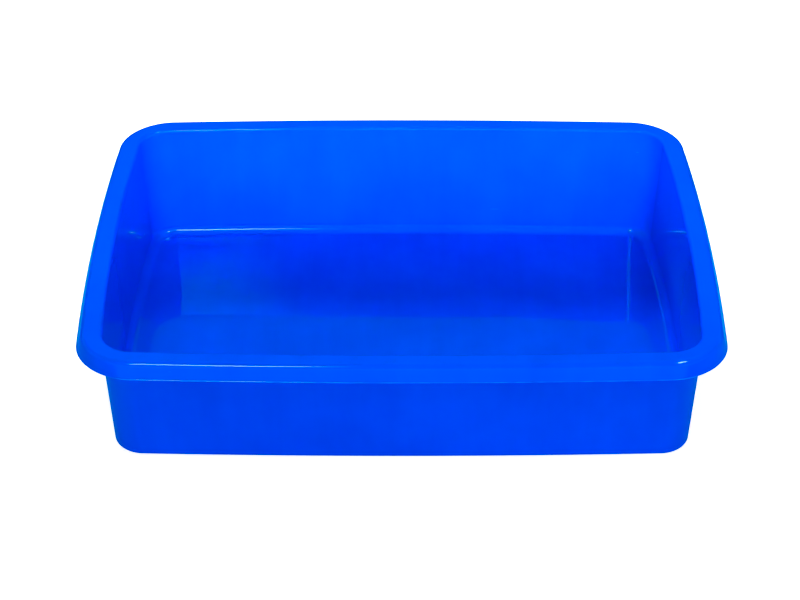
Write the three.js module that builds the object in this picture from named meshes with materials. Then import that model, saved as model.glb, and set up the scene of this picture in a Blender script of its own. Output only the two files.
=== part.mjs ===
// A rectangular pan for mixing and carrying joint compound or plaster, injection moulded in one piece.
// The floor runs into drafted, slightly bowed walls, and a flat rim round the mouth turns down into a
// short flared skirt. Millimetres, +Z up, origin on the ground under the middle of the pan.
import * as THREE from 'three';

// Driving dimensions of the whole pan.
const LENGTH = 450; // along X, over the skirt's lower edge
const WIDTH = 342; // along Y, over the skirt's lower edge
const HEIGHT = 92.5;
const WALL = 2.2; // thickness of walls, rim and skirt, and the height of the floor's upper face

// Rim and skirt, in section.
const RIM_OVERHANG = 15.8; // from the outside of the wall to the skirt's lower edge
const SKIRT_DEPTH = 11.5;
const SKIRT_LEAN = THREE.MathUtils.degToRad(18.5); // the skirt flares out by this much from upright
const RIM_OUTER_RADIUS = 4.5;
const RIM_INNER_RADIUS = 3;

// Walls, floor and foot, in section. Drafts are inward millimetres per millimetre of depth.
const END_DRAFT = 0.042;
const SIDE_DRAFT = 0.086;
const FOOT_RADIUS = 3; // outside, where the wall turns under the floor
const FLOOR_RADIUS = 7; // inside, where the wall meets the floor
const FOOT_RING_WIDTH = 10; // flat band that the pan stands on
const BASE_RECESS = 0.6; // the floor's underside is this far above the foot ring

// Plan outlines: half sizes, corner radius, and how far the middle of the ends (bowX) and of the
// long sides (bowY) stands out beyond their corners.
const SKIRT_PLAN = {
  halfX: LENGTH / 2,
  halfY: WIDTH / 2,
  corner: 40.5,
  bowX: 6,
  bowY: 5,
};
const WALL_TOP_PLAN = {
  halfX: SKIRT_PLAN.halfX - RIM_OVERHANG,
  halfY: SKIRT_PLAN.halfY - RIM_OVERHANG,
  corner: 22.5,
  bowX: SKIRT_PLAN.bowX,
  bowY: SKIRT_PLAN.bowY,
};
const WALL_FOOT_PLAN = {
  halfX: WALL_TOP_PLAN.halfX - END_DRAFT * HEIGHT,
  halfY: WALL_TOP_PLAN.halfY - SIDE_DRAFT * HEIGHT,
  corner: 19.5,
  bowX: 6.5,
  bowY: 3.5,
};

// Facets.
const CORNER_STEPS = 10; // along each rounded corner of an outline
const SIDE_STEPS = 8; // along each bowed side of an outline
const ARC_STEPS = 5; // across each rounded edge of the section

const QUARTER_TURN = Math.PI / 2;

// The outside of the wall at height z, drafted between its foot and its top.
function wallPlan(z) {
  const plan = {};
  for (const size of Object.keys(WALL_FOOT_PLAN)) {
    plan[size] = THREE.MathUtils.lerp(WALL_FOOT_PLAN[size], WALL_TOP_PLAN[size], z / HEIGHT);
  }
  return plan;
}

// The same outline moved in by a distance on all sides.
function inset(plan, distance) {
  return {
    ...plan,
    halfX: plan.halfX - distance,
    halfY: plan.halfY - distance,
    corner: plan.corner - distance,
  };
}

// Bends the sides of a straight outline outwards: the corners come in, the middles stay.
function bow(x, y, plan) {
  const alongX = x / plan.halfX;
  const alongY = y / plan.halfY;
  return [x - plan.bowX * alongX * alongY ** 2, y - plan.bowY * alongY * alongX ** 2];
}

// A bowed rounded rectangle as a ring of points at height z, counter-clockwise from above.
function ring(plan, z) {
  const straightX = 2 * (plan.halfX - plan.corner);
  const straightY = 2 * (plan.halfY - plan.corner);
  const points = [];
  for (let quarter = 0; quarter < 4; quarter += 1) {
    const start = quarter * QUARTER_TURN;
    const end = start + QUARTER_TURN;
    const centreX = (Math.sign(Math.cos(start + QUARTER_TURN / 2)) * straightX) / 2;
    const centreY = (Math.sign(Math.sin(start + QUARTER_TURN / 2)) * straightY) / 2;
    for (let step = 0; step <= CORNER_STEPS; step += 1) {
      const angle = THREE.MathUtils.lerp(start, end, step / CORNER_STEPS);
      const x = centreX + plan.corner * Math.cos(angle);
      const y = centreY + plan.corner * Math.sin(angle);
      points.push([x, y]);
    }
    const [lastX, lastY] = points[points.length - 1];
    const sideLength = quarter % 2 === 0 ? straightX : straightY;
    for (let step = 1; step < SIDE_STEPS; step += 1) {
      const travelled = (sideLength * step) / SIDE_STEPS;
      const x = lastX - travelled * Math.sin(end);
      const y = lastY + travelled * Math.cos(end);
      points.push([x, y]);
    }
  }
  return points.map(([x, y]) => new THREE.Vector3(...bow(x, y, plan), z));
}

// Rings over a rounded edge of the section. At angle 0 the surface is upright, at a quarter turn it
// is level. place(across, along) gives the ring for a point that far in from the upright face and
// that far from the level face.
function roundedEdge(radius, fromAngle, toAngle, place) {
  const rings = [];
  for (let step = 0; step <= ARC_STEPS; step += 1) {
    const angle = THREE.MathUtils.lerp(fromAngle, toAngle, step / ARC_STEPS);
    rings.push(place(radius * (1 - Math.cos(angle)), radius * (1 - Math.sin(angle))));
  }
  return rings;
}

// The recessed underside of the floor and the foot ring round it, from the middle outwards.
function undersideRings() {
  const footEdge = inset(wallPlan(0), FOOT_RADIUS);
  return [
    ring(inset(footEdge, FOOT_RING_WIDTH + BASE_RECESS), BASE_RECESS),
    ring(inset(footEdge, FOOT_RING_WIDTH), 0),
  ];
}

// The outside of the wall, from the foot ring up to the underside of the rim.
function outerWallRings() {
  const foot = roundedEdge(FOOT_RADIUS, QUARTER_TURN, 0, (across, along) => (
    ring(inset(wallPlan(along), across), along)
  ));
  const underRim = roundedEdge(RIM_INNER_RADIUS - WALL, 0, QUARTER_TURN, (across, along) => {
    const z = HEIGHT - WALL - along;
    return ring(inset(wallPlan(z), -across), z);
  });
  return [...foot, ...underRim];
}

// The skirt and the rim's outer edge: under the edge, down the skirt's inner face, up its outer face
// and over the edge. Both faces of the edge are arcs round one centre.
function skirtRings() {
  const skirtBottom = HEIGHT - SKIRT_DEPTH;
  const skirtTop = HEIGHT - RIM_OUTER_RADIUS * (1 - Math.sin(SKIRT_LEAN));
  const skirtTopInset = (skirtTop - skirtBottom) * Math.tan(SKIRT_LEAN);
  const centreInset = skirtTopInset + RIM_OUTER_RADIUS * Math.cos(SKIRT_LEAN);
  const edge = (radius, levelFace, fromAngle, toAngle) => (
    roundedEdge(radius, fromAngle, toAngle, (across, along) => (
      ring(inset(SKIRT_PLAN, centreInset - radius + across), levelFace - along)
    ))
  );
  return [
    ...edge(RIM_OUTER_RADIUS - WALL, HEIGHT - WALL, QUARTER_TURN, SKIRT_LEAN),
    ring(inset(SKIRT_PLAN, WALL / Math.cos(SKIRT_LEAN)), skirtBottom),
    ring(SKIRT_PLAN, skirtBottom),
    ...edge(RIM_OUTER_RADIUS, HEIGHT, SKIRT_LEAN, QUARTER_TURN),
  ];
}

// The inside of the pan, from the rim down the wall and over the fillet to the floor.
function innerRings() {
  const mouth = roundedEdge(RIM_INNER_RADIUS, QUARTER_TURN, 0, (across, along) => (
    ring(inset(wallPlan(HEIGHT), WALL - across), HEIGHT - along)
  ));
  const floor = roundedEdge(FLOOR_RADIUS, 0, QUARTER_TURN, (across, along) => (
    ring(inset(wallPlan(WALL + along), WALL + across), WALL + along)
  ));
  return [...mouth, ...floor];
}

// Joins equal rings into one closed skin, with a flat fan over each end.
function loft(rings) {
  const ringSize = rings[0].length;
  const lastRing = (rings.length - 1) * ringSize;
  const firstCentre = rings.length * ringSize;
  const lastCentre = firstCentre + 1;
  const positions = rings.flat().flatMap((point) => point.toArray());
  positions.push(0, 0, rings[0][0].z);
  positions.push(0, 0, rings[rings.length - 1][0].z);

  const triangles = [];
  for (let point = 0; point < ringSize; point += 1) {
    const next = (point + 1) % ringSize;
    triangles.push(firstCentre, next, point);
    for (let first = 0; first < lastRing; first += ringSize) {
      const second = first + ringSize;
      triangles.push(first + point, first + next, second + next);
      triangles.push(first + point, second + next, second + point);
    }
    triangles.push(lastCentre, lastRing + point, lastRing + next);
  }

  const geometry = new THREE.BufferGeometry();
  geometry.setAttribute('position', new THREE.Float32BufferAttribute(positions, 3));
  geometry.setIndex(triangles);
  geometry.computeVertexNormals();
  return geometry;
}

function panShell() {
  const rings = [...undersideRings(), ...outerWallRings(), ...skirtRings(), ...innerRings()];
  const bluePlastic = new THREE.MeshStandardMaterial({
    color: 0x0050f5,
    roughness: 0.22,
    metalness: 0,
  });
  const shell = new THREE.Mesh(loft(rings), bluePlastic);
  shell.name = 'pan_shell';
  return shell;
}

const pan = new THREE.Group();
pan.add(panShell());

export default pan;
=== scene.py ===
"""Looks of the mud pan: one glossy blue injection-moulded tray on a white studio floor.

The tray is lofted from the same section and outlines as the CAD solid, with finer roundings, the gentle
unevenness of a thin moulding, the flash on its parting line and the gate mark under its floor. Metres.
"""
import math

import bpy
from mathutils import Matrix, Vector, noise


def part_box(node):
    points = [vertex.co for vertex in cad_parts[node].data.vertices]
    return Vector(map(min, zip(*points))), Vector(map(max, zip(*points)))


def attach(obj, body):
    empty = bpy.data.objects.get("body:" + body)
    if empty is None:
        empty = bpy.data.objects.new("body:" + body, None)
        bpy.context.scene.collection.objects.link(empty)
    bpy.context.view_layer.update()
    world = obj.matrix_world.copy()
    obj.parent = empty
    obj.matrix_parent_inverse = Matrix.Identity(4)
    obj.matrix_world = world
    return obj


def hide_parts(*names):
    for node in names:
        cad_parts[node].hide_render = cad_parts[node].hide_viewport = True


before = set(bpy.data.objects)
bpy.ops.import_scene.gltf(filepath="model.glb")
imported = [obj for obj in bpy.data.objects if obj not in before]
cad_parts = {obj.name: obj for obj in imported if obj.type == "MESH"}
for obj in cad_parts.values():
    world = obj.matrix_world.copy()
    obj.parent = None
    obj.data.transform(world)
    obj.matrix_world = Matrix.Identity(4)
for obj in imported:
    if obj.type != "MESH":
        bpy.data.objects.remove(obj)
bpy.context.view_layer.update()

PAN_LOW, PAN_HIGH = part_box("pan_shell")
HEIGHT = PAN_HIGH.z - PAN_LOW.z
QUARTER_TURN = math.pi / 2

# ---------------------------------------------------------------- sizes of the section
WALL = 0.0022
RIM_OVERHANG = 0.0158  # from the outside of the wall to the skirt's lower edge
SKIRT_DEPTH = 0.0115
SKIRT_LEAN = math.radians(18.5)
RIM_OUTER_RADIUS = 0.0045
RIM_INNER_RADIUS = 0.003
END_DRAFT = 0.042  # inwards, per metre of depth
SIDE_DRAFT = 0.086
FOOT_RADIUS = 0.003
FLOOR_RADIUS = 0.007
FOOT_RING_WIDTH = 0.010
BASE_RECESS = 0.0006

# The flash left where the two halves of the mould met, along the skirt's lower edge.
FLASH_REACH = 0.0003
FLASH_THICKNESS = 0.0005
FLASH_SHOULDER_HEIGHTS = (0.3, 1.7)  # of the places below and above its middle, in half thicknesses
FLASH_SHOULDER_REACH = 0.8  # share of its reach that it has at those places

# The gate mark in the middle of the underside: a low stub in a shallow dish.
GATE_STUB_RADIUS = 0.0015
GATE_STUB_HEIGHT = 0.0004
GATE_STUB_FOOT = 1.4  # where the stub's slope ends, in stub radii
GATE_DISH_RADIUS = 0.008
GATE_DISH_DEPTH = 0.0003
GATE_DISH_FLAT = 0.8  # where the dish's slope begins, in dish radii

# ---------------------------------------------------------------- mesh fineness
CORNER_STEPS = 32
SIDE_STEPS = 88
ARC_STEPS = 10
LONGEST_STEP = 0.006  # between rings on the floor and walls
GATE_STEP = 0.0005  # between rings near the gate mark
GATE_INNER_RING = 0.1  # half width of the first ring of the underside, in stub radii
GATE_OUTER_RING = 1.2  # half width of the ring round the gate mark, in dish radii
FLOOR_INNER_RING = 0.004  # size of the last ring of the floor, as a share of the floor


class Ring:
    """A bowed rounded rectangle at one height, as six numbers that can be mixed with another ring's."""

    def __init__(self, half_x, half_y, corner, bow_x, bow_y, z=0.0):
        self.sizes = (half_x, half_y, corner, bow_x, bow_y, z)

    @property
    def half_x(self):
        return self.sizes[0]

    @property
    def half_y(self):
        return self.sizes[1]

    @property
    def z(self):
        return self.sizes[-1]

    def inset(self, distance, z):
        half_x, half_y, corner, bow_x, bow_y, _ = self.sizes
        return Ring(half_x - distance, half_y - distance, corner - distance, bow_x, bow_y, z)

    def scaled(self, factor):
        return Ring(*(size * factor for size in self.sizes[:-1]), self.z)

    def mixed(self, other, share):
        return Ring(*(a + (b - a) * share for a, b in zip(self.sizes, other.sizes)))

    def distance(self, other):
        return max(
            abs(self.half_x - other.half_x),
            abs(self.half_y - other.half_y),
            abs(self.z - other.z),
        )

    def points(self):
        """Counter-clockwise from above, with evenly spaced points on each corner and each side."""
        half_x, half_y, corner, bow_x, bow_y, z = self.sizes
        found = []
        for quarter in range(4):
            start = quarter * QUARTER_TURN
            end = start + QUARTER_TURN
            middle = (start + end) / 2
            centre_x = math.copysign(half_x - corner, math.cos(middle))
            centre_y = math.copysign(half_y - corner, math.sin(middle))
            for step in range(CORNER_STEPS + 1):
                angle = start + (end - start) * step / CORNER_STEPS
                found.append((centre_x + corner * math.cos(angle), centre_y + corner * math.sin(angle)))
            last_x, last_y = found[-1]
            side = 2 * ((half_y if quarter % 2 else half_x) - corner)
            for step in range(1, SIDE_STEPS):
                travelled = side * step / SIDE_STEPS
                found.append((last_x - travelled * math.sin(end), last_y + travelled * math.cos(end)))
        bowed = []
        for x, y in found:
            along_x = x / half_x
            along_y = y / half_y
            bowed.append(Vector((
                x - bow_x * along_x * along_y ** 2,
                y - bow_y * along_y * along_x ** 2,
                z,
            )))
        return bowed


# ---------------------------------------------------------------- outlines
SKIRT_EDGE = Ring(PAN_HIGH.x, PAN_HIGH.y, corner=0.0405, bow_x=0.006, bow_y=0.005)
WALL_TOP = Ring(
    PAN_HIGH.x - RIM_OVERHANG, PAN_HIGH.y - RIM_OVERHANG, corner=0.0225, bow_x=0.006, bow_y=0.005, z=HEIGHT
)
WALL_FOOT = Ring(
    PAN_HIGH.x - RIM_OVERHANG - END_DRAFT * HEIGHT,
    PAN_HIGH.y - RIM_OVERHANG - SIDE_DRAFT * HEIGHT,
    corner=0.0195,
    bow_x=0.0065,
    bow_y=0.0035,
)


def wall(z, inset=0.0):
    """The wall's outside at a height, or a ring a distance inside it."""
    return WALL_FOOT.mixed(WALL_TOP, z / HEIGHT).inset(inset, z)


def rounded(radius, start, end, place):
    """Rings over a rounded edge. At angle 0 the surface is upright, at a quarter turn it is level."""
    rings = []
    for step in range(ARC_STEPS + 1):
        angle = start + (end - start) * step / ARC_STEPS
        rings.append(place(radius * (1 - math.cos(angle)), radius * (1 - math.sin(angle))))
    return rings


def underside_rings():
    foot_edge = wall(0, FOOT_RADIUS)
    recess = foot_edge.inset(FOOT_RING_WIDTH + BASE_RECESS, BASE_RECESS)
    gate_edge = recess.scaled(GATE_OUTER_RING * GATE_DISH_RADIUS / recess.half_y)
    gate_middle = recess.scaled(GATE_INNER_RING * GATE_STUB_RADIUS / recess.half_y)
    return [gate_middle, gate_edge, recess, foot_edge.inset(FOOT_RING_WIDTH, 0)]


def outer_wall_rings():
    foot = rounded(FOOT_RADIUS, QUARTER_TURN, 0, lambda across, along: wall(along, across))
    under_rim = rounded(
        RIM_INNER_RADIUS - WALL, 0, QUARTER_TURN,
        lambda across, along: wall(HEIGHT - WALL - along, -across),
    )
    return foot + under_rim


def skirt_rings():
    """Under the rim's edge, down inside the skirt, round its flash, up its face and over the edge."""
    bottom = HEIGHT - SKIRT_DEPTH
    lean = math.tan(SKIRT_LEAN)
    face_top = HEIGHT - RIM_OUTER_RADIUS * (1 - math.sin(SKIRT_LEAN))
    centre = (face_top - bottom) * lean + RIM_OUTER_RADIUS * math.cos(SKIRT_LEAN) + FLASH_REACH

    def edge(radius, level, start, end):
        return rounded(
            radius, start, end,
            lambda across, along: SKIRT_EDGE.inset(centre - radius + across, level - along),
        )

    def face(height, proud=0.0):
        return SKIRT_EDGE.inset(FLASH_REACH + height * lean - proud, bottom + height)

    half_flash = FLASH_THICKNESS / 2
    low_shoulder, high_shoulder = (half_flash * height for height in FLASH_SHOULDER_HEIGHTS)
    return [
        *edge(RIM_OUTER_RADIUS - WALL, HEIGHT - WALL, QUARTER_TURN, SKIRT_LEAN),
        SKIRT_EDGE.inset(FLASH_REACH + WALL / math.cos(SKIRT_LEAN), bottom),
        face(0, proud=-half_flash),
        face(0),
        face(low_shoulder, proud=FLASH_REACH * FLASH_SHOULDER_REACH),
        face(half_flash, proud=FLASH_REACH),
        face(high_shoulder, proud=FLASH_REACH * FLASH_SHOULDER_REACH),
        face(FLASH_THICKNESS),
        face(FLASH_THICKNESS + half_flash),
        *edge(RIM_OUTER_RADIUS, HEIGHT, SKIRT_LEAN, QUARTER_TURN),
    ]


def inner_rings():
    """Over the mouth's rounded edge, down the inner wall and over the fillet to the floor's middle."""
    mouth = rounded(
        RIM_INNER_RADIUS, QUARTER_TURN, 0,
        lambda across, along: WALL_TOP.inset(WALL - across, HEIGHT - along),
    )
    fillet = rounded(
        FLOOR_RADIUS, 0, QUARTER_TURN,
        lambda across, along: wall(WALL + along, WALL + across),
    )
    return mouth + fillet + [fillet[-1].scaled(FLOOR_INNER_RING)]


def refined(rings):
    """The same rings with more between any two that are far apart, and finer near the gate mark."""
    fine = [rings[0]]
    for ring in rings[1:]:
        before = fine[-1]
        gap = before.distance(ring)
        near_gate = ring.half_y < 2 * GATE_DISH_RADIUS and ring.z < WALL
        count = math.ceil(gap / (GATE_STEP if near_gate else LONGEST_STEP))
        fine += [before.mixed(ring, step / count) for step in range(1, count + 1)]
    return fine


# ---------------------------------------------------------------- unevenness, as a thin moulding has it
LONG_WAVE = 0.09  # size of the sink waves
LONG_WAVE_SHARE = 1.5
SHORT_WAVE = 0.045  # size of the flow ripples on them
SHORT_WAVE_SHARE = 0.35
SHORT_WAVE_SEED = 7.3  # keeps the ripples apart from the sink waves of the same surface

FLOOR_WAVE = 0.00024
FLOOR_SEED = 105.18  # picked for its look: the real floor's shape isn't known
FLOOR_WAVE_EDGE = (0.79, 0.88)  # shares of the half sizes between which the floor's waves die out
FLOOR_WAVE_TOP = (WALL, 3 * WALL)  # heights between which they die out
WALL_WAVE = 0.00015
END_SEED = 11.0
SIDE_SEED = 23.0
WALL_WAVE_FOOT = (0.1, 0.35)  # shares of the height between which the walls' waves set in
WALL_WAVE_TOP = (0.6, 0.85)  # and between which they die out
WALL_WAVE_NEAR = (0.9, 0.98)  # share of a half size from which a point is on that wall
WALL_WAVE_CORNER = (0.7, 0.9)  # and along that wall, where its waves die out before the corner

FLASH_GRAIN = 0.006  # size of the flash's ordinary unevenness
FLASH_MEAN = 0.55  # share of its reach that the flash mostly has
FLASH_VARIATION = 0.5
NICK_SIZE = 0.003
NICK_DEPTH = 1.6
NICK_PATCH = 0.045  # size of the stretches that have nicks or none
NICK_PATCH_SEED = Vector((5, 2, 9))
NICK_PATCH_EDGE = (0.25, 0.6)  # noise between which a stretch goes from whole to nicked


def smooth(low, high, value):
    """0 up to low and 1 from high, with a soft rise between."""
    share = min(max((value - low) / (high - low), 0.0), 1.0)
    return share * share * (3 - 2 * share)


def waves(x, y, seed):
    """Smooth unevenness between about -1 and 1: long sink waves with shorter flow ripples on them."""
    long_waves = noise.noise(Vector((x / LONG_WAVE, y / LONG_WAVE, seed)))
    short_waves = noise.noise(Vector((x / SHORT_WAVE, y / SHORT_WAVE, seed + SHORT_WAVE_SEED)))
    return LONG_WAVE_SHARE * long_waves + SHORT_WAVE_SHARE * short_waves


def warped(point):
    """Moves a point of the ideal tray as the unevenness of a moulding would."""
    x, y, z = point
    edge_x = abs(x) / WALL_FOOT.half_x
    edge_y = abs(y) / WALL_FOOT.half_y
    level = z / HEIGHT
    floor_share = (1 - smooth(*FLOOR_WAVE_EDGE, max(edge_x, edge_y))) * (1 - smooth(*FLOOR_WAVE_TOP, z))
    wall_share = smooth(*WALL_WAVE_FOOT, level) * (1 - smooth(*WALL_WAVE_TOP, level))
    end_share = wall_share * smooth(*WALL_WAVE_NEAR, edge_x) * (1 - smooth(*WALL_WAVE_CORNER, edge_y))
    side_share = wall_share * smooth(*WALL_WAVE_NEAR, edge_y) * (1 - smooth(*WALL_WAVE_CORNER, edge_x))
    return Vector((
        x + WALL_WAVE * end_share * waves(y, z, math.copysign(END_SEED, x)),
        y + WALL_WAVE * side_share * waves(x, z, math.copysign(SIDE_SEED, y)),
        z + FLOOR_WAVE * floor_share * waves(x, y, FLOOR_SEED),
    ))


def with_gate(point):
    """Presses the gate's dish and stub into the middle of the underside."""
    radius = math.hypot(point.x, point.y)
    if radius > GATE_DISH_RADIUS or point.z > WALL / 2:
        return point
    dish = GATE_DISH_DEPTH * (1 - smooth(GATE_DISH_FLAT * GATE_DISH_RADIUS, GATE_DISH_RADIUS, radius))
    stub = GATE_STUB_HEIGHT * (1 - smooth(GATE_STUB_RADIUS, GATE_STUB_FOOT * GATE_STUB_RADIUS, radius))
    return point + Vector((0, 0, dish - stub))


def ragged(point, straight_edge):
    """Makes the flash stand out by a different amount at each place, with a few torn nicks."""
    where = point.xy.to_3d()
    grain = noise.noise(where / FLASH_GRAIN)
    nicked = smooth(*NICK_PATCH_EDGE, noise.noise(where / NICK_PATCH + NICK_PATCH_SEED))
    nicks = nicked * noise.noise(where / NICK_SIZE)
    share = min(max(FLASH_MEAN + FLASH_VARIATION * grain + NICK_DEPTH * nicks, 0.0), 1.0)
    return straight_edge.lerp(point, share)


# ---------------------------------------------------------------- the tray's mesh
def flash_reach(ring):
    """How far a ring on the flash stands out beyond the skirt, or 0 for any other ring."""
    outward = ring.half_x - SKIRT_EDGE.half_x + FLASH_REACH
    on_flash = outward > 0 and ring.z < HEIGHT - SKIRT_DEPTH + FLASH_THICKNESS
    return outward if on_flash else 0.0


def moulded_points(ring):
    """A ring's points with the unevenness, the gate mark and the ragged flash."""
    points = ring.points()
    reach = flash_reach(ring)
    if reach > 0:
        back = ring.inset(reach, ring.z).points()
        points = [ragged(point, flat) for point, flat in zip(points, back)]
    return [with_gate(warped(point)) for point in points]


def quads_between(row_count, around):
    """Faces that join each row of points to the next."""
    faces = []
    for row in range(row_count - 1):
        for place in range(around):
            following = (place + 1) % around
            faces.append((
                row * around + place,
                row * around + following,
                (row + 1) * around + following,
                (row + 1) * around + place,
            ))
    return faces


def fan(centre, first, around, turn):
    """Triangles from a centre to the row that starts at a vertex. A turn of -1 faces them downwards."""
    faces = []
    for place in range(around):
        following = (place + 1) % around
        faces.append((centre, first + place, first + following)[::turn])
    return faces


def pan_mesh():
    """One closed skin: underside, outer wall, under the rim, skirt, rim, mouth, inner wall, floor."""
    rings = refined([*underside_rings(), *outer_wall_rings(), *skirt_rings(), *inner_rings()])
    rows = [moulded_points(ring) for ring in rings]
    around = len(rows[0])
    vertices = [point for row in rows for point in row]
    torn = [float(flash_reach(ring) > 0) for ring in rings for _ in range(around)]
    faces = quads_between(len(rows), around)
    last_row = (len(rows) - 1) * around
    for first, turn in ((0, -1), (last_row, 1)):
        faces += fan(len(vertices), first, around, turn)
        vertices.append(sum(vertices[first:first + around], Vector()) / around)
        torn.append(0.0)
    mesh = bpy.data.meshes.new("mud_pan")
    mesh.from_pydata(vertices, [], faces)
    mesh.attributes.new("torn", "FLOAT", "POINT").data.foreach_set("value", torn)
    mesh.shade_smooth()
    return mesh


class Shader:
    """A short way to write a node tree: each call adds a node and returns the socket to use next."""

    def __init__(self, tree):
        self.tree = tree

    def add(self, kind, inputs=(), **settings):
        node = self.tree.nodes.new(kind)
        for name, value in settings.items():
            setattr(node, name, value)
        for name, value in dict(inputs).items():
            self.feed(node.inputs[name], value)
        return node

    def feed(self, socket, value):
        if isinstance(value, bpy.types.NodeSocket):
            self.tree.links.new(value, socket)
        else:
            socket.default_value = value

    def clouds(self, place, size, detail=2.0):
        """Smooth noise from 0 to 1 with features about this large, in metres."""
        inputs = {"Vector": place, "Scale": 1 / size, "Detail": detail}
        return self.add("ShaderNodeTexNoise", inputs).outputs["Fac"]

    def spread(self, value, low, high, new_low, new_high, kind="LINEAR"):
        """Maps low..high to new_low..new_high, and holds it there outside."""
        inputs = {"Value": value, "From Min": low, "From Max": high, "To Min": new_low, "To Max": new_high}
        return self.add("ShaderNodeMapRange", inputs, interpolation_type=kind).outputs["Result"]

    def maths(self, operation, *values):
        return self.add("ShaderNodeMath", dict(enumerate(values)), operation=operation).outputs["Value"]

    def sum(self, first, second):
        return self.maths("ADD", first, second)

    def product(self, first, second):
        return self.maths("MULTIPLY", first, second)

    # A Mix node has equally named sockets for every type, so its sockets are picked by number.
    def mixed_values(self, share, first, second):
        inputs = {0: share, 2: first, 3: second}
        return self.add("ShaderNodeMix", inputs, data_type="FLOAT").outputs[0]

    def mixed_colours(self, share, first, second):
        inputs = {0: share, 6: first, 7: second}
        return self.add("ShaderNodeMix", inputs, data_type="RGBA").outputs[2]

    def stretched(self, place, turn, factors):
        """The same place turned about Z and then scaled, so that noise on it becomes streaks."""
        inputs = {"Vector": place, "Rotation": (0, 0, turn), "Scale": factors}
        return self.add("ShaderNodeMapping", inputs).outputs["Vector"]


# ---------------------------------------------------------------- plastic
DEEP_BLUE = (0.0, 0.038, 0.73, 1)
BRIGHT_BLUE = (0.0, 0.050, 0.83, 1)
BLUE_EDGE = (0.45, 0.9)  # unevenness of the pigment that gives the deep and the bright blue
PIGMENT_CLOUD = 0.06
FLOW_STREAK = 0.012
FLOW_STRETCH = (1.0, 0.15, 0.15)
FLOW_SHARE = 0.35
MIRROR_BLUE = (0.5, 1.0, 1.0, 1)  # tints what the surface mirrors head on, to keep the blue pure
POLYPROPYLENE_IOR = 1.49

TORN_AND_HIGHLIGHT_BLUE = (0.03, 0.17, 0.95, 1)  # lighter on the torn flash: partly stress whitening, partly a painted highlight along the skirt's thin lower edge
TORN_PATCH = 0.012
TORN_EDGE = (0.4, 0.65)  # noise between which the flash goes from least to fully torn, and its painted highlight from faintest to full
TORN_LEAST = 0.25
FLASH_ROUGHNESS = 0.15  # added to the gloss's own on the torn flash

SCRATCH_WIDTH = 0.0018
SCRATCH_STRETCH = (0.06, 1.0, 1.0)
SCRATCH_EDGE = (0.735, 0.76)  # noise between which a scratch begins
SCRATCH_PATCH = 0.05
SCRATCH_PATCH_EDGE = (0.5, 0.65)  # noise between which a patch goes from clean to scratched
SCRATCH_TURNS = (0.5, -0.35)  # the two ways that the scratches run, in radians
SCRATCH_ROUGHNESS = 0.12
SCRATCH_DEPTH = 0.000004

WEAR_PATCH = 0.035
WEAR_EDGE = (0.45, 0.75)  # noise that gives the least and the most worn gloss
WEAR_ROUGHNESS = (0.045, 0.075)

PEEL_SIZE = 0.006
PEEL_HEIGHT = 0.000004
RIPPLE_SIZE = 0.016
RIPPLE_STRETCH = (1, 0.25, 0.25)
RIPPLE_HEIGHT = 0.00001

NORMAL_WEIGHT = 60  # how far the smooth shading follows the larger faces


def hairlines(shader, place, turn):
    """Sparse fine scratches that run one way: 1 on a scratch, 0 elsewhere."""
    thin = shader.stretched(place, turn, SCRATCH_STRETCH)
    line = shader.spread(shader.clouds(thin, SCRATCH_WIDTH, detail=0.0), *SCRATCH_EDGE, 0, 1)
    patch = shader.spread(shader.clouds(place, SCRATCH_PATCH, detail=1.0), *SCRATCH_PATCH_EDGE, 0, 1)
    return shader.product(line, patch)


def torn_and_highlight_share(shader, place):
    """How torn the plastic is, which also sets where the painted highlight on the flash goes: patchy along
    the flash, and 0 everywhere else.
    """
    edge = shader.add("ShaderNodeAttribute", attribute_name="torn").outputs["Fac"]
    patches = shader.clouds(place, TORN_PATCH, detail=3.0)
    return shader.product(edge, shader.spread(patches, *TORN_EDGE, TORN_LEAST, 1))


def moulded_blue(shader, place):
    """Deep to bright blue, in soft clouds with faint flow streaks along the pan's sides."""
    pigment = shader.clouds(place, PIGMENT_CLOUD, detail=3.0)
    streaks = shader.clouds(shader.stretched(place, 0, FLOW_STRETCH), FLOW_STREAK)
    unevenness = shader.sum(pigment, shader.product(streaks, FLOW_SHARE))
    return shader.mixed_colours(shader.spread(unevenness, *BLUE_EDGE, 0, 1), DEEP_BLUE, BRIGHT_BLUE)


def surface_relief(shader, place, scratches):
    """Height of the slight orange peel, the flow ripples and the scratches cut into them."""
    peel = shader.product(shader.clouds(place, PEEL_SIZE, detail=1.0), PEEL_HEIGHT)
    rippled = shader.clouds(shader.stretched(place, 0, RIPPLE_STRETCH), RIPPLE_SIZE, detail=1.0)
    ripples = shader.product(rippled, RIPPLE_HEIGHT)
    return shader.sum(shader.sum(peel, ripples), shader.product(scratches, -SCRATCH_DEPTH))


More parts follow.
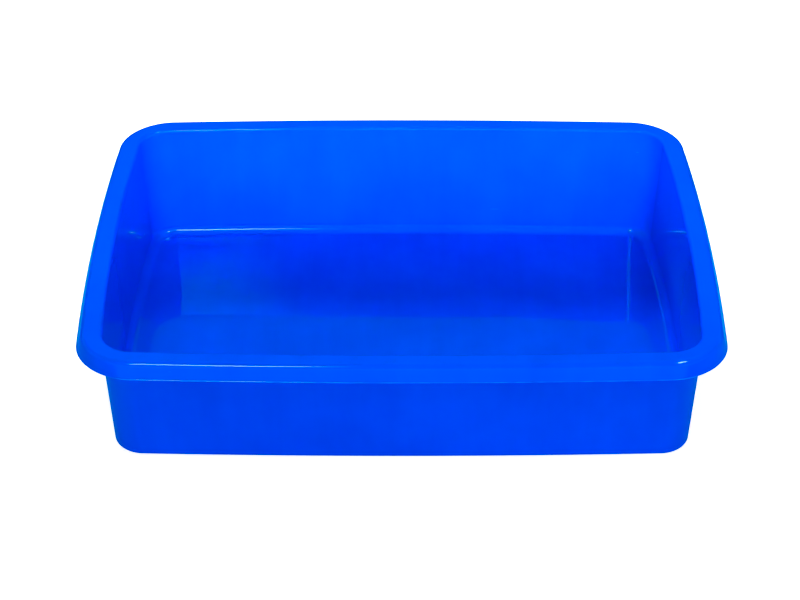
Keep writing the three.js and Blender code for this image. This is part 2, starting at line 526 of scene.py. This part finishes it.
def blue_plastic():
    """Glossy moulded polypropylene: deep blue, faint flow streaks, fine scuffs and a slight orange peel."""
    material = bpy.data.materials.new("blue_plastic")
    material.use_nodes = True
    surface = material.node_tree.nodes["Principled BSDF"]
    shader = Shader(material.node_tree)
    place = shader.add("ShaderNodeTexCoord").outputs["Object"]

    torn = torn_and_highlight_share(shader, place)
    # the torn flash is lighter: partly stress whitening, partly a painted highlight along its thin edge
    whitened_and_highlit = shader.mixed_colours(torn, moulded_blue(shader, place), TORN_AND_HIGHLIGHT_BLUE)
    shader.feed(surface.inputs["Base Color"], whitened_and_highlit)

    scratches = shader.sum(*(hairlines(shader, place, turn) for turn in SCRATCH_TURNS))
    worn = shader.spread(shader.clouds(place, WEAR_PATCH, detail=4.0), *WEAR_EDGE, *WEAR_ROUGHNESS)
    marks = shader.sum(shader.product(scratches, SCRATCH_ROUGHNESS), shader.product(torn, FLASH_ROUGHNESS))
    shader.feed(surface.inputs["Roughness"], shader.sum(worn, marks))

    relief = surface_relief(shader, place, scratches)
    bump = shader.add("ShaderNodeBump", {"Height": relief, "Distance": 1.0, "Strength": 1.0})
    shader.feed(surface.inputs["Normal"], bump.outputs["Normal"])

    surface.inputs["IOR"].default_value = POLYPROPYLENE_IOR
    surface.inputs["Specular Tint"].default_value = MIRROR_BLUE
    return material


def mud_pan():
    pan = bpy.data.objects.new("mud_pan", pan_mesh())
    bpy.context.scene.collection.objects.link(pan)
    pan.data.materials.append(blue_plastic())
    weighted = pan.modifiers.new("face_weighted_normals", "WEIGHTED_NORMAL")
    weighted.weight = NORMAL_WEIGHT
    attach(pan, "root")
    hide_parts("pan_shell")


# ---------------------------------------------------------------- studio
FLOOR_SIZE = 12.0
FLOOR_ROUGHNESS = 0.8
FLOOR_GLOSS = 0.1
FLOOR_WHITE = (0.85, 0.85, 0.85, 1)
FLOOR_MIRRORED = (0.0, 0.36, 0.9, 1)  # the floor as the gloss shows it: dim, and blue to suit the pan
FLOOR_GLOW = (1, 1, 1, 1)
FLOOR_LIFT = 0.62  # strength of the floor's own glow, which only the camera sees
SOFTBOX_FADE = 0.25  # part of a softbox's width over which each edge darkens
PAN_MIDDLE = Vector((0, 0, HEIGHT / 2))
BACK_WALL = Vector((0, WALL_FOOT.half_y, 0.9 * HEIGHT))  # high up on the rear wall

# Brightness of the room, as pairs of the elevation's sine and the level there. In front and beside the
# pan there is a bright band low down, and behind it a broad one that reaches high up.
FRONT_GLOW = ((0.17, 0.8), (0.25, 1.45), (0.37, 1.45), (0.45, 0.12))
SIDE_GLOW = ((0.17, 0.05), (0.25, 1.2), (0.37, 1.2), (0.45, 0.12))
REAR_GLOW = ((0.16, 0.0), (0.24, 0.42), (0.60, 0.42), (0.68, 0.65), (0.84, 0.65), (0.92, 0.15))
FRONT_TO_SIDE = (-0.85, -0.5)  # northward part of a heading, between which one glow runs into the next
SIDE_TO_REAR = (0.55, 0.85)
CEILING_SHEEN = 0.6  # least level of the ceiling as the gloss shows it
CEILING_EDGE = (0.55, 0.7)  # elevation's sine between which that ceiling sets in
ROOM_WHITE = (1, 1, 1, 1)
ROOM_MIRRORED = (0.15, 0.95, 1.0, 1)  # the room as the gloss shows it, so that low glances stay blue


def studio_floor():
    """A pale floor that the camera sees brighter, and the gloss dimmer, than its light makes it."""
    bpy.ops.mesh.primitive_plane_add(size=FLOOR_SIZE)
    floor = bpy.context.object
    floor.name = "studio_floor"
    material = bpy.data.materials.new("white_sweep")
    material.use_nodes = True
    surface = material.node_tree.nodes["Principled BSDF"]
    surface.inputs["Roughness"].default_value = FLOOR_ROUGHNESS
    surface.inputs["Specular IOR Level"].default_value = FLOOR_GLOSS
    surface.inputs["Emission Color"].default_value = FLOOR_GLOW
    shader = Shader(material.node_tree)
    path = shader.add("ShaderNodeLightPath")
    colour = shader.mixed_colours(path.outputs["Is Glossy Ray"], FLOOR_WHITE, FLOOR_MIRRORED)
    shader.feed(surface.inputs["Base Color"], colour)
    lift = shader.product(path.outputs["Is Camera Ray"], FLOOR_LIFT)
    shader.feed(surface.inputs["Emission Strength"], lift)
    floor.data.materials.append(material)


def faded(shader, across):
    """1 over the middle of a softbox, falling to 0 at both of its edges."""
    off_centre = shader.maths("SUBTRACT", across, 0.5)
    outwards = shader.maths("ABSOLUTE", off_centre)
    return shader.spread(outwards, 0.5 - SOFTBOX_FADE, 0.5, 1, 0, "SMOOTHSTEP")


def softbox(
    name, aim, azimuth, elevation, distance, width, height, brightness,
    spread=180, mirrored=True, lighting=True,
):
    """A soft rectangular light facing a point. Azimuth 0 is in front of it (-Y), positive to the right.

    It shows in the gloss if mirrored, and lights the plastic and the floor if lighting.
    """
    light = bpy.data.lights.new(name, "AREA")
    light.shape = "RECTANGLE"
    light.size = width
    light.size_y = height
    light.energy = brightness * math.pi * width * height / (1 - SOFTBOX_FADE) ** 2
    light.spread = math.radians(spread)
    light.use_nodes = True
    shader = Shader(light.node_tree)
    place = shader.add("ShaderNodeNewGeometry").outputs["Parametric"]
    across = shader.add("ShaderNodeSeparateXYZ", {"Vector": place})
    glow = shader.product(faded(shader, across.outputs["X"]), faded(shader, across.outputs["Y"]))
    shader.feed(light.node_tree.nodes["Emission"].inputs["Strength"], glow)
    lamp = bpy.data.objects.new(name, light)
    turn = math.radians(azimuth)
    rise = math.radians(elevation)
    away = Vector((math.sin(turn) * math.cos(rise), -math.cos(turn) * math.cos(rise), math.sin(rise)))
    lamp.location = aim + distance * away
    lamp.rotation_euler = away.to_track_quat("Z", "Y").to_euler()
    lamp.visible_camera = False
    lamp.visible_glossy = mirrored
    lamp.visible_diffuse = lighting
    bpy.context.scene.collection.objects.link(lamp)


def studio_lights():
    """A key that lights and shows in the gloss, one box that only shows, and fills that only light."""
    softbox(
        "key_softbox", PAN_MIDDLE, azimuth=-18.6, elevation=51, distance=1.5,
        width=0.455, height=0.45, brightness=6.8,
    )
    softbox(
        "side_softbox", PAN_MIDDLE, azimuth=56, elevation=58, distance=1.5,
        width=0.38, height=0.22, brightness=30, lighting=False,
    )
    softbox(
        "side_fill", PAN_MIDDLE, azimuth=53, elevation=58, distance=1.5,
        width=0.38, height=0.22, brightness=15, mirrored=False,
    )
    softbox(
        "front_fill", PAN_MIDDLE, azimuth=15, elevation=15, distance=1.5,
        width=0.9, height=0.4, brightness=6.5, mirrored=False,
    )
    softbox(
        "rear_fill", PAN_MIDDLE, azimuth=190, elevation=35, distance=4.0,
        width=2.4, height=1.0, brightness=18, mirrored=False,
    )
    softbox(
        "back_wall_fill", BACK_WALL, azimuth=0, elevation=14, distance=0.66,
        width=0.7, height=0.06, brightness=3.0, spread=22, mirrored=False,
    )


def brightness_ramp(shader, value, stops):
    """A brightness that runs softly through the stops, pairs of a value and the level there."""
    ramp = shader.add("ShaderNodeValToRGB", {"Fac": value})
    elements = ramp.color_ramp.elements
    ramp.color_ramp.interpolation = "EASE"
    brightest = max(level for _, level in stops)
    while len(elements) < len(stops):
        elements.new(0.5)  # each stop is moved to its own place below
    for element, (position, level) in zip(elements, stops):
        element.position = position
        element.color = (level / brightest, level / brightest, level / brightest, 1)
    return shader.product(ramp.outputs["Color"], brightest)


def room_glow(shader, direction, height):
    """Brightness of the room in a direction: front, side and rear glows that run into each other."""
    front = brightness_ramp(shader, height, FRONT_GLOW)
    behind = brightness_ramp(shader, height, REAR_GLOW)
    beside = brightness_ramp(shader, height, SIDE_GLOW)
    level = shader.add("ShaderNodeVectorMath", {0: direction, 1: (1, 1, 0)}, operation="MULTIPLY")
    heading = shader.add("ShaderNodeVectorMath", {0: level.outputs["Vector"]}, operation="NORMALIZE")
    northward = shader.add("ShaderNodeSeparateXYZ", {"Vector": heading.outputs["Vector"]}).outputs["Y"]
    near = shader.mixed_values(shader.spread(northward, *FRONT_TO_SIDE, 0, 1), front, beside)
    return shader.mixed_values(shader.spread(northward, *SIDE_TO_REAR, 0, 1), near, behind)


def surroundings():
    """The room round the pan. The camera sees plain white, and the gloss a blue room and its ceiling."""
    world = bpy.data.worlds.new("studio")
    bpy.context.scene.world = world
    world.use_nodes = True
    shader = Shader(world.node_tree)
    direction = shader.add("ShaderNodeTexCoord").outputs["Generated"]
    height = shader.add("ShaderNodeSeparateXYZ", {"Vector": direction}).outputs["Z"]
    glow = room_glow(shader, direction, height)

    path = shader.add("ShaderNodeLightPath")
    mirrored = path.outputs["Is Glossy Ray"]
    ceiling = shader.product(mirrored, shader.spread(height, *CEILING_EDGE, 0, CEILING_SHEEN))
    lit = shader.maths("MAXIMUM", glow, ceiling)
    background = world.node_tree.nodes["Background"]
    shader.feed(background.inputs["Color"], shader.mixed_colours(mirrored, ROOM_WHITE, ROOM_MIRRORED))
    strength = shader.mixed_values(path.outputs["Is Camera Ray"], lit, 1.0)
    shader.feed(background.inputs["Strength"], strength)


# ---------------------------------------------------------------- camera and colours
# The camera stands in front of the pan and looks down at it.
CAMERA_ELEVATION = math.radians(33.99)
CAMERA_DISTANCE = 1.6385  # to where its axis meets the floor
CAMERA_AIM = Vector((-0.0012, 0.048, 0))
FOCAL_LENGTH = 95.97  # millimetres, as is the sensor
SENSOR_WIDTH = 36.0
BLACK_LEVEL = (0.045, 0, 0)  # this much red becomes black


def camera():
    data = bpy.data.cameras.new("camera")
    data.lens = FOCAL_LENGTH
    data.sensor_width = SENSOR_WIDTH
    viewer = bpy.data.objects.new("camera", data)
    away = Vector((0, -math.cos(CAMERA_ELEVATION), math.sin(CAMERA_ELEVATION)))
    viewer.location = CAMERA_AIM + CAMERA_DISTANCE * away
    viewer.rotation_euler = (QUARTER_TURN - CAMERA_ELEVATION, 0, 0)
    bpy.context.scene.collection.objects.link(viewer)
    bpy.context.scene.camera = viewer


def colour_management():
    """Plain colours, with a little red taken out of the darks, so that the blue stays pure."""
    view = bpy.context.scene.view_settings
    view.view_transform = "Standard"
    view.use_curve_mapping = True
    view.curve_mapping.black_level = BLACK_LEVEL
    view.curve_mapping.update()


mud_pan()
studio_floor()
studio_lights()
surroundings()
camera()
colour_management()
